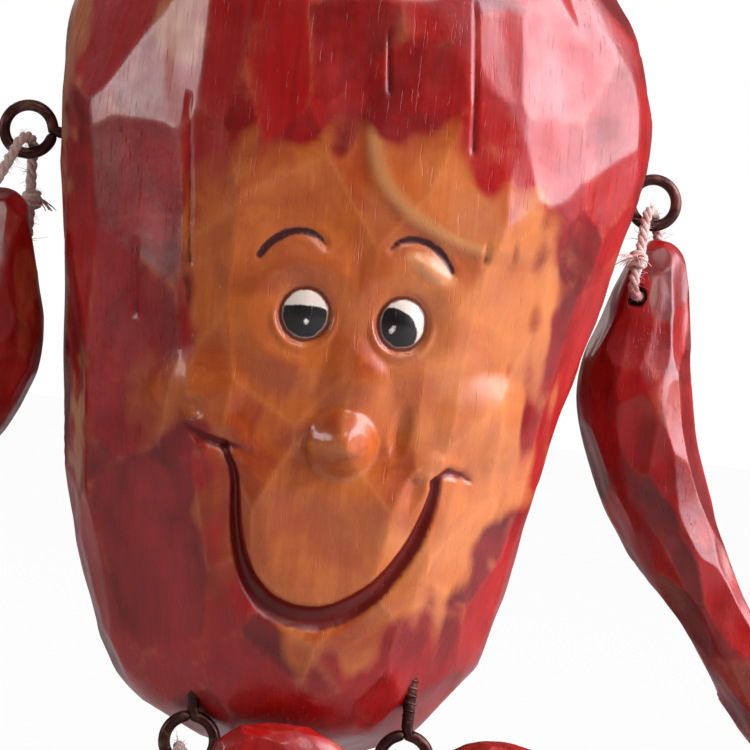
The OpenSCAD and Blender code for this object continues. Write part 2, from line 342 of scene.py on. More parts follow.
BODY_MIDDLE = (BODY_LOW.y + BODY_HIGH.y) / 2 / MM
BODY_HALF = (BODY_HIGH - BODY_LOW) / 2 / MM
BODY_PLACES = along(BODY_FORM, lambda s: np.array(
    [s[0] * BODY_HALF.z, (s[1] + s[2]) * (BODY_HALF.x + BODY_HALF.y) / 4]))
BODY_ROWS = np.array([(s[0] * (BODY_HIGH.z if s[0] > 0 else -BODY_LOW.z) / MM,
                       s[1] * BODY_HALF.x, s[2] * BODY_HALF.y, s[3]) for s in BODY_FORM])


def body_surface(angle, place):
    """Points of the uncut body, in mm: a squared oval at each height, with four upright furrows"""
    z, wide, deep, lean = (hermite(place, BODY_PLACES, BODY_ROWS[:, k]) for k in range(4))
    wide, deep = np.maximum(wide, 0.01), np.maximum(deep, 0.01)
    s, c = np.abs(np.sin(angle)), np.abs(np.cos(angle))
    n = BODY_SQUARENESS
    out = ((s / wide) ** n + (c / deep) ** n) ** (-1 / n)
    quarter = np.arctan2((s * out / wide) ** (n / 2), (c * out / deep) ** (n / 2))
    sharp = smoothstep(8, 70, z)
    out = out * (1 - BODY_FURROW * np.sin(2 * quarter) ** 6
                 - 0.022 * sharp * np.exp(-((quarter - math.pi / 4) / 0.07) ** 2))
    return np.stack([lean + out * np.sin(angle), BODY_MIDDLE - out * np.cos(angle), z], axis=1)


def body_cuts(seed):
    """Places of the knife's cuts on the body: long upright ones all round, small ones on the face"""
    rng = np.random.default_rng(seed)
    cuts = []
    span = BODY_PLACES[-1]
    for band, share in enumerate((0.10, 0.17, 0.25, 0.34, 0.43, 0.52, 0.61, 0.69, 0.765, 0.83, 0.90)):
        count = 9 if share in (0.10, 0.90) else 17
        for k in range(count):
            angle = 2 * math.pi * (k + 0.5 * (band % 2) + rng.uniform(-0.28, 0.28)) / count
            angle = (angle + math.pi) % (2 * math.pi) - math.pi
            place = span * (share + rng.uniform(-0.022, 0.022))
            on_face = abs(angle) < 0.72 and 0.30 < share < 0.62
            cuts.append((angle, place, rng.uniform(0.12, 0.3) if on_face else rng.uniform(0.45, 0.85),
                         0.02 if on_face else 0.05))
    for _ in range(110):
        cuts.append((rng.uniform(-0.95, 0.95), span * rng.uniform(0.24, 0.66),
                     rng.uniform(0.10, 0.30), 0.05))
    for _ in range(70):
        cuts.append((rng.uniform(-math.pi, math.pi), span * rng.uniform(0.1, 0.9),
                     rng.uniform(0.3, 0.75), 0.07))
    return cuts


def face_relief(flat):
    """How far the face stands out (mm) at (across, up) points of the body's front"""
    groove = to_line(flat, MOUTH, MOUTH_WIDTHS)
    chin = to_outline(flat, tuple(map(tuple, MOUTH)))
    out = -1.7 * smoothstep(0.45, -1.1, groove) + 1.1 * smoothstep(2.0, -6.0, chin)
    out += 0.45 * np.exp(-((groove - 2.6) / 1.5) ** 2) * (chin > 0)
    for line, width in ((LEFT_SMILE_END, (0.2, 1.6, 1.8, 0.3)), (RIGHT_SMILE_END, (0.6, 1.8, 1.3, 0.2))):
        out -= 1.0 * smoothstep(0.5, -0.9, to_line(flat, line, width))
    out += 1.3 * dome(flat, (-24.0, -14.2), (9.5, 7.0), 0.2) + 1.4 * dome(flat, (25.5, -15.0), (10.0, 9.0))
    out -= 1.3 * dome(flat, (-23.6, -17.2), (2.6, 2.2))
    # the nose, with one flat cut down its right side
    across, up = (flat - NOSE).T
    out += np.minimum(4.6 * dome(flat, NOSE, (6.4, 6.0)), np.maximum(0, 4.9 - 0.65 * across - 0.33 * up))
    out += 1.5 * dome(flat, (2.4, -13.0), (6.5, 10.5), 0.12)
    out -= 0.9 * smoothstep(0.4, -0.5, to_line(flat, ((-4.3, -18.4), (-5.0, -21.4), (-3.4, -24.4)),
                                               (0.1, 0.8, 0.1)))
    out -= 0.9 * dome(flat, (10.4, -17.6), (2.0, 5.2), -0.1)
    out -= 0.7 * dome(flat, (13.6, -27.0), (1.8, 5.0), -0.35)
    for eye in (LEFT_EYE, RIGHT_EYE):
        out -= 1.2 * dome(flat, eye, (9.5, 8.5))
        edge = to_oval(flat, eye, EYE_SIZE)
        out += 1.3 * dome(flat, eye, (EYE_SIZE[0] + 0.2, EYE_SIZE[1] + 0.2))
        out -= 0.45 * np.exp(-((edge - 0.45) / 0.4) ** 2)
        out += 0.5 * np.exp(-((edge - 1.3) / 0.5) ** 2) * smoothstep(1.5, -2.5, flat[:, 1] - eye[1])
    for brow in BROWS:
        out -= 0.45 * smoothstep(0.9, -0.5, to_line(flat, brow, np.full(40, 0.6)))
    out += 0.8 * dome(flat, (12.2, 9.0), (3.8, 1.9), -0.45)
    # the brow ridge: the wood above and right of it stands proud
    away, above = to_line(flat, BROW_RIDGE), to_outline(flat, ABOVE_RIDGE)
    out += 1.1 * smoothstep(2.2, -1.6, above) * np.exp(-(away / 9) ** 2)
    for crack in CRACKS:
        out -= 0.45 * smoothstep(0.5, -0.2, to_line(flat, crack, np.linspace(0.1, 0.5, 20)))
    return out


class BodySettings(bpy.types.PropertyGroup):
    columns: IntProperty(name="Columns", description="Mesh columns round the body", default=400, min=64)
    rows: IntProperty(name="Rows", description="Mesh rows up the body", default=244, min=48)
    cut_depth: FloatProperty(name="Knife cut", description="Depth of the knife's facets, as a share",
                             default=1.0, min=0, max=2)
    stain: tint("Stain", "Red stain on the body", (0.42, 0.004, 0.003))
    dark_stain: tint("Dark stain", "Stain where it has pooled", (0.115, 0.0, 0.0))
    face: tint("Face", "Orange of the bare face", (0.50, 0.10, 0.006))


class PUPPET_OT_body(bpy.types.Operator):
    """Carve the pepper-shaped body with its face"""
    bl_idname = "puppet.body"
    bl_label = "Carved Body"

    def execute(self, context):
        settings = context.scene.puppet_body
        mesh, turn, share = ball_mesh("carved_body", settings.columns, settings.rows)
        angle = turn - 0.45 * np.sin(turn)
        face_low, face_high = (BODY_PLACES[-1] * s for s in (0.24, 0.66))

        def weight(place):
            return 1 + 1.1 * smoothstep(face_low - 8, face_low + 4, place) * smoothstep(
                face_high + 8, face_high - 4, place)

        place = spread(share, BODY_PLACES, weight)
        place = np.clip(place, BODY_PLACES[0] + 1e-4, BODY_PLACES[-1] - 1e-4)
        points = body_surface(angle, place)
        normals = normals_of(mesh, points)
        cut, edge, tone = knife_cuts(points, normals, body_surface, body_cuts(11), (150, 150, 265), 12)
        flat = points[:, [0, 2]]
        front = smoothstep(0.12, 0.42, np.cos(angle))
        calm = 1 - 0.75 * front * smoothstep(9, 2, np.minimum(
            to_oval(flat, LEFT_EYE, (6, 6)), to_oval(flat, RIGHT_EYE, (6, 6))))
        points -= normals * (cut * calm * settings.cut_depth)[:, None]
        points += normals * (front * face_relief(flat))[:, None]
        scrape = wobble(points * (1, 1, 0.22), 5.5, 21) * 0.09 + wobble(points, 16, 22) * 0.22
        points += normals * (scrape * (1 - 0.6 * front))[:, None]
        give_face(mesh, flat, front, points, edge * calm, tone)
        seat = (np.hypot(points[:, 0], points[:, 2]) < SEAT) & (points[:, 1] > -6)
        points[seat, 1] = -0.03
        normals_of(mesh, points)
        finish_piece(mesh, "carved_body", painted_wood(settings), "figure", "stained_wood", "pepper_body")
        return {"FINISHED"}


def give_face(mesh, flat, front, points, edge, tone):
    """Painted and stained areas, as distances in mm that are negative inside; also painted highlights on the
    face's right side, the brow ridge and the lid above the right eye
    """
    off = np.where(front > 0.05, 0.0, 60.0)
    brows = np.minimum(*(to_line(flat, brow, np.interp(np.linspace(0, 1, 40), (0, 0.3, 0.8, 1), width))
                         for brow, width in zip(BROWS, ((1.3, 1.4, 1.0, 0.3), (0.5, 1.1, 1.3, 0.9)))))
    mouth = to_line(flat, MOUTH, MOUTH_WIDTHS * 1.02)
    for line, width in ((LEFT_SMILE_END, (0.1, 1.2, 1.6, 0.1)), (RIGHT_SMILE_END, (0.6, 1.4, 0.9, 0.1))):
        mouth = np.minimum(mouth, to_line(flat, line, width))
    eyes = [to_oval(flat, eye, EYE_SIZE) for eye in (LEFT_EYE, RIGHT_EYE)]
    lx, lz = LEFT_EYE
    rx, rz = RIGHT_EYE
    pupils = np.minimum(
        np.maximum(to_oval(flat, (lx, lz - 2.2), (7.5, 3.7)), eyes[0] + 0.15),
        np.maximum(to_oval(flat, (rx - 1.5, rz - 1.3), (4.2, 3.7), -0.5), eyes[1] + 0.15))
    glints = np.minimum(to_oval(flat, (lx + 0.3, lz - 1.2), (0.45, 0.5)),
                        to_oval(flat, (rx - 1.6, rz - 1.0), (0.4, 0.7), -0.5))
    cracks = np.min([to_line(flat, crack, np.linspace(0.15, 0.5, 20)) for crack in CRACKS], axis=0)
    # painted highlight: a lighter band along the top of the brow ridge, where the light catches it
    ridge = np.exp(-((to_outline(flat, ABOVE_RIDGE) + 0.6) / 1.3) ** 2)
    ridge *= np.exp(-(to_line(flat, BROW_RIDGE) / 2.5) ** 2)
    # painted light: the face's right side, which faces the light, is painted lighter
    right = smoothstep(0, 26, flat[:, 0] + wobble(points, 9, 33) * 7) * smoothstep(34, 20, flat[:, 1])
    ragged = wobble(points, 7, 31) * 2.2 + wobble(points, 19, 32) * 2.6
    give(mesh, brows=brows + off, mouth=mouth + off, eyes=np.minimum(*eyes) + off,
         pupils=pupils + off, glints=glints + off, cracks=cracks + off,
         face=np.min([to_squared(flat, *oval) for oval in FACE_OVALS], axis=0) + ragged + off,
         edge=edge, tone=tone,
         # painted highlight on the carved bump above the right eye
         lid=(1 - smoothstep(0.0, 0.8, to_oval(flat, (12.4, 9.0), (3.4, 1.3), -0.45))) * front,
         # pale: painted light, made of the ridge's painted highlight and the lighter right side
         bare=bare_patches(points), pale=np.maximum(0.28 * right, 0.75 * ridge) * front)


def bare_patches(points):
    """Where the stain has missed or rubbed off: a few patches high on the body and along its sides"""
    spots = (((-31.5, -62, 46), (4.5, 14, 9)), ((-30, -55, 66), (7, 14, 6)),
             ((-49, -45, 44), (3, 8, 26)), ((-47, -36, 5), (3.5, 7, 26)),
             ((-44, -50, -28), (4, 8, 18)), ((20, -20, 72), (16, 12, 4)), ((-14, -6, 40), (9, 5, 16)),
             ((30, -8, -22), (8, 6, 14)), ((47, -50, -10), (3, 6, 10)), ((2, -2, -52), (12, 6, 6)))
    ragged = wobble(points, 6, 41) * 0.28
    found = np.zeros(len(points))
    for middle, size in spots:
        share = np.linalg.norm((points - middle) / size, axis=1)
        found = np.maximum(found, smoothstep(1.15, 0.55, share + ragged))
    return found


# ---------------------------------------------------------------- materials

def feed(tree, socket, value):
    """Links a node or an output to a socket, or sets the socket's own value"""
    if isinstance(value, bpy.types.Node):
        value = next(out for out in value.outputs if out.enabled)
    if isinstance(value, bpy.types.NodeSocket):
        tree.links.new(value, socket)
    elif socket.type == "RGBA":
        socket.default_value = (*value[:3], 1)
    else:
        socket.default_value = value


def put(tree, kind, inputs=None, **settings):
    """Adds a node; `inputs` gives its sockets values, or other nodes' outputs to be linked to"""
    made = tree.nodes.new(kind)
    for key, value in settings.items():
        setattr(made, key, value)
    for key, value in (inputs or {}).items():
        feed(tree, made.inputs[key], value)
    return made


def calc(tree, operation, a, b=0.0, c=0.0):
    return put(tree, "ShaderNodeMath", {0: a, 1: b, 2: c}, operation=operation)


def times(tree, a, b):
    return calc(tree, "MULTIPLY", a, b)


def plus(tree, a, b):
    return calc(tree, "ADD", a, b)


def ramp(tree, value, low, high, to_low=0.0, to_high=1.0):
    """Smooth change from to_low to to_high while the value goes from low to high"""
    return put(tree, "ShaderNodeMapRange",
               {"Value": value, "From Min": low, "From Max": high, "To Min": to_low, "To Max": to_high},
               interpolation_type="SMOOTHSTEP")


def blend(tree, share, a, b, mode="MIX"):
    """Colour a, changed towards b by the share"""
    made = tree.nodes.new("ShaderNodeMix")
    made.data_type, made.blend_type = "RGBA", mode
    for socket, value in ((made.inputs[0], share), (made.inputs[6], a), (made.inputs[7], b)):
        feed(tree, socket, value)
    return made.outputs[2]


def noise(tree, where, scale, detail=4.0, roughness=0.55, distortion=0.0):
    return put(tree, "ShaderNodeTexNoise", {"Vector": where, "Scale": scale, "Detail": detail,
                                            "Roughness": roughness, "Distortion": distortion})


def mark(tree, name):
    """A number stored on the mesh's vertices"""
    return put(tree, "ShaderNodeAttribute", attribute_name=name).outputs["Fac"]


def new_group(name, inputs, outputs):
    """A shader node group with named sockets, its input node and its output node"""
    group = bpy.data.node_groups.new(name, "ShaderNodeTree")
    for label, kind, default in inputs:
        socket = group.interface.new_socket(label, in_out="INPUT", socket_type=kind)
        if default is not None:
            socket.default_value = default
    for label, kind in outputs:
        group.interface.new_socket(label, in_out="OUTPUT", socket_type=kind)
    return group, group.nodes.new("NodeGroupInput").outputs, group.nodes.new("NodeGroupOutput").inputs


def placed(tree, group, **inputs):
    """Places a node group in a material and sets its inputs (underscores stand for spaces)"""
    node = put(tree, "ShaderNodeGroup", node_tree=group)
    for key, value in inputs.items():
        feed(tree, node.inputs[key.replace("_", " ")], value)
    return node


def wood_grain_group():
    """Long fibres, pores and knife drag of carved softwood: a 0..1 streak mask and a height in mm"""
    known = bpy.data.node_groups.get("Carved grain")
    if known:
        return known
    group, given, out = new_group(
        "Carved grain", [("Where", "NodeSocketVector", None), ("Fineness", "NodeSocketFloat", 1.0)],
        [("Streaks", "NodeSocketFloat"), ("Pores", "NodeSocketFloat"), ("Height", "NodeSocketFloat")])
    fibre = noise(group, given["Where"], times(group, given["Fineness"], 900), 5, 0.6)
    broad = noise(group, given["Where"], times(group, given["Fineness"], 210), 3, 0.5, 0.6)
    streaks = plus(group, times(group, fibre, 0.55), times(group, broad, 0.45))
    specks = noise(group, given["Where"], times(group, given["Fineness"], 1900), 2)
    pores = ramp(group, specks, 0.63, 0.72)
    height = calc(group, "SUBTRACT", streaks, times(group, pores, 0.5))
    for label, value in (("Streaks", streaks), ("Pores", pores), ("Height", height)):
        group.links.new(value.outputs[0], out[label])
    return group


def stain_group():
    """Red stain brushed on by hand: thicker and darker in some places, thin on edges and bare spots"""
    known = bpy.data.node_groups.get("Brushed stain")
    if known:
        return known
    group, given, out = new_group(
        "Brushed stain",
        [("Where", "NodeSocketVector", None), ("Streaks", "NodeSocketFloat", 0.5),
         ("Tone", "NodeSocketFloat", 0.5), ("Edge", "NodeSocketFloat", 0.0),
         ("Bare", "NodeSocketFloat", 0.0), ("Stain", "NodeSocketColor", None),
         ("Dark Stain", "NodeSocketColor", None), ("Wood", "NodeSocketColor", None)],
        [("Color", "NodeSocketColor"), ("Roughness", "NodeSocketFloat"), ("Coat", "NodeSocketFloat")])
    cloud = noise(group, given["Where"], 38, 5, 0.6, 0.8)
    pooled = ramp(group, plus(group, cloud, times(group, given["Tone"], 0.3)), 0.5, 0.95)
    colour = blend(group, pooled, given["Stain"], given["Dark Stain"])
    streaky = ramp(group, given["Streaks"], 0.35, 0.62)
    colour = blend(group, times(group, streaky, 0.38), colour, given["Dark Stain"])
    rubbed = times(group, given["Edge"], ramp(group, noise(group, given["Where"], 160, 3), 0.46, 0.66))
    brighter = blend(group, 0.42, given["Stain"], given["Wood"])
    colour = blend(group, times(group, rubbed, 0.55), colour, brighter)
    thin = times(group, given["Bare"],
                ramp(group, plus(group, given["Streaks"], cloud), 0.72, 1.12, 1.0, 0.35))
    colour = blend(group, thin, colour, given["Wood"])
    rough = ramp(group, noise(group, given["Where"], 120, 4, 0.6), 0.3, 0.75, 0.30, 0.52)
    coat = ramp(group, cloud, 0.3, 0.7, 0.55, 0.25)
    for label, value in (("Color", colour), ("Roughness", rough.outputs[0]), ("Coat", coat.outputs[0])):
        group.links.new(value, out[label])
    return group


def new_material(name):
    material = bpy.data.materials.new(name)
    material.use_nodes = True
    tree = material.node_tree
    shader = tree.nodes["Principled BSDF"]
    return material, tree, shader


def along_grain(tree, squeeze=(1, 1, 0.07), turn=(0, 0, 0)):
    """Object coordinates stretched so that noise runs as fibres along one axis"""
    place = put(tree, "ShaderNodeTexCoord").outputs["Object"]
    return place, put(tree, "ShaderNodeMapping",
                      {"Vector": place, "Scale": squeeze, "Rotation": turn}, vector_type="POINT").outputs[0]


def relief(tree, shader, height, distance, strength):
    """Bump in a shader's normal"""
    bump = put(tree, "ShaderNodeBump", {"Height": height, "Distance": distance, "Strength": strength})
    tree.links.new(bump.outputs[0], shader.inputs["Normal"])


def varnished(tree, shader, colour, roughness, coat, height, distance=0.0004, strength=0.55):
    """Wires colour, gloss and relief into a shader with a clear varnish on top"""
    tree.links.new(colour, shader.inputs["Base Color"])
    tree.links.new(roughness, shader.inputs["Roughness"])
    tree.links.new(coat, shader.inputs["Coat Weight"])
    shader.inputs["Coat Roughness"].default_value = 0.16
    shader.inputs["Specular IOR Level"].default_value = 0.4
    relief(tree, shader, height, distance, strength)


def carved_stain(tree, settings, fineness, wood, lumps):
    """Stained carved wood: its place, grain and stain nodes, and its relief; `lumps` scales the knife's"""
    place, fibres = along_grain(tree)
    grain = placed(tree, wood_grain_group(), Where=fibres, Fineness=fineness)
    marks = {name.title(): mark(tree, name) for name in ("tone", "edge", "bare")}
    stained = placed(tree, stain_group(), Where=place, Streaks=grain.outputs["Streaks"],
                     Stain=settings.stain, Dark_Stain=settings.dark_stain, Wood=wood, **marks)
    height = plus(tree, times(tree, grain.outputs["Height"], 0.5),
                  times(tree, noise(tree, place, lumps, 3), 0.8))
    return place, grain, stained, height


def painted_wood(settings):
    """Body: red stain round an orange face, inked brows and mouth, painted eyes, all under varnish, with
    painted highlights on the face's right side, the brow ridge and the lid above the right eye
    """
    material, tree, shader = new_material("Painted pepper wood")
    place, grain, stained, height = carved_stain(tree, settings, 1.0, (0.56, 0.27, 0.10), 150)
    face = settings.face
    pale_face, deep_face = (0.74, 0.27, 0.07), (0.31, 0.030, 0.001)
    patchy = noise(tree, place, 95, 5, 0.6, 0.7)
    tan = blend(tree, ramp(tree, patchy, 0.36, 0.68), deep_face, tuple(face))
    tan = blend(tree, times(tree, ramp(tree, mark(tree, "tone"), 0.3, 1.0), 0.24), tan, pale_face)
    tan = blend(tree, times(tree, ramp(tree, grain.outputs["Streaks"], 0.42, 0.62), 0.30), tan, deep_face)
    tan = blend(tree, times(tree, mark(tree, "edge"), 0.30), tan, pale_face)
    # painted light: the face's right side and a band along the brow ridge are painted lighter
    tan = blend(tree, mark(tree, "pale"), tan, (0.84, 0.38, 0.13))
    # painted highlight on the carved bump above the right eye
    tan = blend(tree, times(tree, mark(tree, "lid"), 0.45), tan, (0.80, 0.42, 0.20))
    soft_edge = plus(tree, mark(tree, "face"),
                     times(tree, calc(tree, "SUBTRACT", patchy, 0.5), 9.0))
    colour = blend(tree, ramp(tree, soft_edge, 2.4, -2.4), stained.outputs["Color"], tan)
    wobbly = times(tree, calc(tree, "SUBTRACT", noise(tree, place, 700, 2), 0.5), 0.5)

    def painted(colour, name, paint, low, high, share=1.0):
        cover = ramp(tree, plus(tree, mark(tree, name), wobbly), high, low)
        return blend(tree, times(tree, cover, share), colour, paint)

    colour = painted(colour, "mouth", (0.135, 0.003, 0.002), -0.25, 0.35, 0.97)
    colour = painted(colour, "brows", (0.035, 0.004, 0.006), -0.22, 0.25, 0.97)
    colour = painted(colour, "eyes", (0.10, 0.008, 0.004), 0.25, 0.75, 0.85)
    colour = painted(colour, "eyes", (0.78, 0.70, 0.60), -0.35, 0.0)
    colour = painted(colour, "pupils", (0.006, 0.005, 0.004), -0.2, 0.12)
    colour = painted(colour, "glints", (0.85, 0.85, 0.80), -0.15, 0.15)
    colour = painted(colour, "cracks", (0.03, 0.0, 0.0), -0.3, 0.12, 0.9)
    paint = ramp(tree, mark(tree, "mouth"), 0.5, -0.2)
    for name in ("brows", "cracks"):
        paint = calc(tree, "MAXIMUM", paint, ramp(tree, mark(tree, name), 0.4, -0.1))
    coat = times(tree, stained.outputs["Coat"], ramp(tree, paint, 0, 1, 1.0, 0.15))
    varnished(tree, shader, colour, stained.outputs["Roughness"], coat.outputs[0], height.outputs[0])
    return material


# ---------------------------------------------------------------- arms and legs

# Arm: (share of the length, outward offset in mm, half-width share, half-depth share), shoulder first
ARM_FORM = (
    (-0.004, 1.8, 0.0, 0.0), (0.000, 1.8, 0.20, 0.18), (0.025, 1.8, 0.46, 0.39), (0.070, 1.6, 0.60, 0.56),
    (0.106, 1.2, 0.67, 0.67), (0.152, 0.8, 0.76, 0.79), (0.212, 0.2, 0.90, 0.92), (0.288, 0.5, 1.0, 1.0),
    (0.394, 3.2, 1.0, 0.98), (0.485, 7.0, 0.97, 0.92), (0.576, 12.5, 0.94, 0.86), (0.667, 19.0, 0.91, 0.80),
    (0.778, 27.0, 0.84, 0.72), (0.879, 33.5, 0.68, 0.60), (0.955, 37.5, 0.46, 0.42),
    (0.995, 39.3, 0.18, 0.18), (1.002, 39.5, 0.0, 0.0))
# Leg: (share of the length, offset to the right, half-width share, half-depth, forward shift), hip first
LEG_FORM = (
    (-0.003, 14.5, 0.0, 0.0, 8.5), (0.000, 14.5, 0.27, 1.7, 8.5), (0.018, 14.7, 0.56, 3.2, 8.5),
    (0.054, 15.2, 0.80, 4.5, 8.4), (0.100, 15.6, 0.92, 5.6, 8.2), (0.167, 15.4, 0.99, 7.1, 7.8),
    (0.256, 15.4, 1.0, 8.8, 7.2), (0.400, 15.5, 0.93, 10.5, 6.5), (0.554, 14.0, 0.82, 10.5, 6.0),
    (0.700, 11.3, 0.70, 10.0, 6.5), (0.800, 9.7, 0.66, 12.0, 8.5), (0.880, 9.1, 0.68, 15.0, 11.5),
    (0.950, 9.0, 0.66, 15.0, 12.0), (0.988, 9.0, 0.55, 12.6, 12.0), (1.000, 9.0, 0.40, 9.5, 12.0),
    (1.001, 9.0, 0.0, 0.0, 12.0))
ARM_LENGTH, ARM_WIDTH, LEG_LENGTH, LEG_WIDTH = 99.0, 21.5, 84.0, 28.0
ARM_HOLE, LEG_HOLE = (1.2, 0.0, 10.5), (4.5, -7.5, 18.0)  # across, forward, and down from the top end
TWINE_RADIUS = 1.0


def joint_point(name):
    return np.array(JOINTS[name]["pos_m"], float) / MM


def joint_way(name):
    way = np.array(JOINTS[name]["axis"], float)
    return way / np.linalg.norm(way)


def limb_rows(limb):
    """A limb's stations as (height, x, y, half-width, half-depth) in mm about its twine hole, lowest first"""
    arm = limb.endswith("arm")
    side = -1 if limb.startswith("left") else 1
    rows = []
    for station in reversed(ARM_FORM if arm else LEG_FORM):
        share, across, wide, deep = station[:4]
        if arm:
            rows.append((ARM_HOLE[2] - share * ARM_LENGTH, side * (across - ARM_HOLE[0]), 0.0,
                         wide * ARM_WIDTH / 2, deep * ARM_WIDTH / 2))
        else:
            rows.append((LEG_HOLE[2] - share * LEG_LENGTH, across - LEG_HOLE[0],
                         -station[4] - LEG_HOLE[1], wide * LEG_WIDTH / 2, deep))
    return np.array(rows)


def limb_surface(limb):
    """The limb's uncut surface as a function of angle and place, with the place along its length"""
    rows = limb_rows(limb)
    places = along(rows, lambda row: np.array([row[0], row[1], row[3] + row[4]]))
    out = joint_way(limb + "_aside")
    lean = math.asin(max(-1, min(1, 2 * abs(out[2])))) if limb.endswith("arm") else 0.0
    turn = -lean if limb.startswith("left") else lean
    hole = joint_point(limb + "_aside")
    c, s = math.cos(turn), math.sin(turn)

    def surface(angle, place):
        z, x, y, wide, deep = (hermite(place, places, rows[:, k]) for k in range(5))
        x = x + np.maximum(wide, 0) * np.sin(angle)
        y = y - np.maximum(deep, 0) * np.cos(angle)
        return np.stack([x * c - z * s, y, z * c + x * s], axis=1) + hole
    return surface, places


class LimbSettings(bpy.types.PropertyGroup):
    columns: IntProperty(name="Columns", description="Mesh columns round a limb", default=190, min=32)
    rows: IntProperty(name="Rows", description="Mesh rows along a limb", default=210, min=32)
    stain: tint("Stain", "Red stain on the limbs", (0.40, 0.004, 0.004))
    dark_stain: tint("Dark stain", "Stain where it has pooled", (0.10, 0.0, 0.0))


class PUPPET_OT_limbs(bpy.types.Operator):
    """Carve the two pepper arms and the two pepper legs"""
    bl_idname = "puppet.limbs"
    bl_label = "Arms and Legs"

    def execute(self, context):
        settings = context.scene.puppet_limbs
        material = stained_limb_wood(settings)
        for number, limb in enumerate(LIMBS):
            mesh, angle, share = ball_mesh("carved_" + limb, settings.columns, settings.rows)
            surface, places = limb_surface(limb)
            place = np.clip(share * places[-1], 1e-4, places[-1] - 1e-4)
            points = surface(angle, place)
            normals = normals_of(mesh, points)
            rng = np.random.default_rng(50 + number)
            cuts = []
            for band, part in enumerate(np.linspace(0.09, 0.93, 7)):
                for k in range(8):
                    cuts.append((2 * math.pi * (k + 0.5 * (band % 2) + rng.uniform(-0.3, 0.3)) / 8 - math.pi,
                                 places[-1] * (part + rng.uniform(-0.04, 0.04)),
                                 rng.uniform(0.35, 0.75), 0.06))
            for _ in range(60):
                cuts.append((rng.uniform(-math.pi, math.pi), places[-1] * rng.uniform(0.04, 0.97),
                             rng.uniform(0.12, 0.4), 0.10))
            cut, edge, tone = knife_cuts(points, normals, surface, cuts, (50, 50, 72), 60 + number)
            hole, way = joint_point(limb + "_aside"), joint_way(limb + "_aside")
            clear = smoothstep(3.5, 7.0, np.linalg.norm(np.cross(points - hole, way), axis=1))
            points -= normals * (cut * (0.3 + 0.7 * clear))[:, None]
            points += normals * (wobble(points * (1, 1, 0.25), 5, 70 + number) * 0.08 * clear)[:, None]
            drill(points, hole, way)
            off_axis = np.linalg.norm(np.cross(points - hole, way), axis=1)
            # painted shade: the twine hole's walls and rim are marked for a near-black colour
            give(mesh, edge=edge, tone=tone, bore=smoothstep(2.1, 1.5, off_axis),
                 bare=0.35 * smoothstep(0.7, 1.0, wobble(points, 15, 80 + number)))
            normals_of(mesh, points)
            finish_piece(mesh, "carved_" + limb, material, limb + "_limb", "stained_limb_wood", limb)
        return {"FINISHED"}


def drill(points, hole, way):
    """Presses a round hole for the twine into both sides of a limb"""
    reach = (points - hole) @ way
    off_axis = np.linalg.norm(points - hole - reach[:, None] * way, axis=1)
    depth = 3.6 * smoothstep(1.75, 1.25, off_axis)
    points -= way * (np.sign(reach) * np.minimum(depth, np.abs(reach)))[:, None]


def stained_limb_wood(settings):
    material, tree, shader = new_material("Stained limb wood")
    _, _, stained, height = carved_stain(tree, settings, 1.1, (0.55, 0.16, 0.06), 170)
    # painted shade: near black inside the twine hole
    colour = blend(tree, mark(tree, "bore"), stained.outputs["Color"], (0.05, 0.0, 0.0))
    varnished(tree, shader, colour, stained.outputs["Roughness"], stained.outputs["Coat"], height.outputs[0])
    return material


# ---------------------------------------------------------------- twine

HOLE_HALF = {"arm": 7.4, "leg": 11.2}   # from the middle of a limb's hole to its mouth
LOOP_TOP = {"arm": 2.8, "leg": 3.6}    # radius of the twine's turn over the screw eye
HOLE_BEND = 1.7


def loop_route(limb, spacing=0.3):
    """The twine loop's middle line and its two sideways directions, in mm: out of the hole, up both
    sides, and over the screw eye's wire"""
    kind = limb.split("_")[1]
    hole, way = joint_point(limb + "_aside"), joint_way(limb + "_aside")
    wire = joint_point(limb + "_swing")
    half, top = HOLE_HALF[kind], LOOP_TOP[kind]
    up = wire - hole - ((wire - hole) @ way) * way
    rise = np.linalg.norm(up)
    up /= rise
    circles = (((-half, HOLE_BEND), HOLE_BEND), ((half, HOLE_BEND), HOLE_BEND),
               (((wire - hole) @ way, rise), top))

    def leaving(a, b):
        (ax, ay), ar = a
        (bx, by), br = b
        return math.atan2(by - ay, bx - ax) - math.acos((ar - br) / math.hypot(bx - ax, by - ay))

    line = []
    for i in range(3):
        (x, y), radius = circles[i]
        start = leaving(circles[i - 1], circles[i])
        sweep = (leaving(circles[i], circles[(i + 1) % 3]) - start) % (2 * math.pi)
        for k in range(13):
            turn = start + sweep * k / 12
            line.append((x + radius * math.cos(turn), y + radius * math.sin(turn)))
    line = np.array(line + line[:1])
    gone = np.concatenate(([0], np.cumsum(np.linalg.norm(np.diff(line, axis=0), axis=1))))
    at = np.linspace(0, gone[-1], int(gone[-1] / spacing), endpoint=False)
    flat = np.stack([np.interp(at, gone, line[:, k]) for k in range(2)], axis=1)
    for _ in range(3):
        flat = (np.roll(flat, 1, axis=0) + 2 * flat + np.roll(flat, -1, axis=0)) / 4
    ahead = np.roll(flat, -1, axis=0) - np.roll(flat, 1, axis=0)
    ahead /= np.linalg.norm(ahead, axis=1)[:, None]
    side = ahead[:, 1:] * way - ahead[:, :1] * up
    middle = hole + flat[:, :1] * way + flat[:, 1:] * up
    return middle, side, np.cross(way, up), gone[-1]


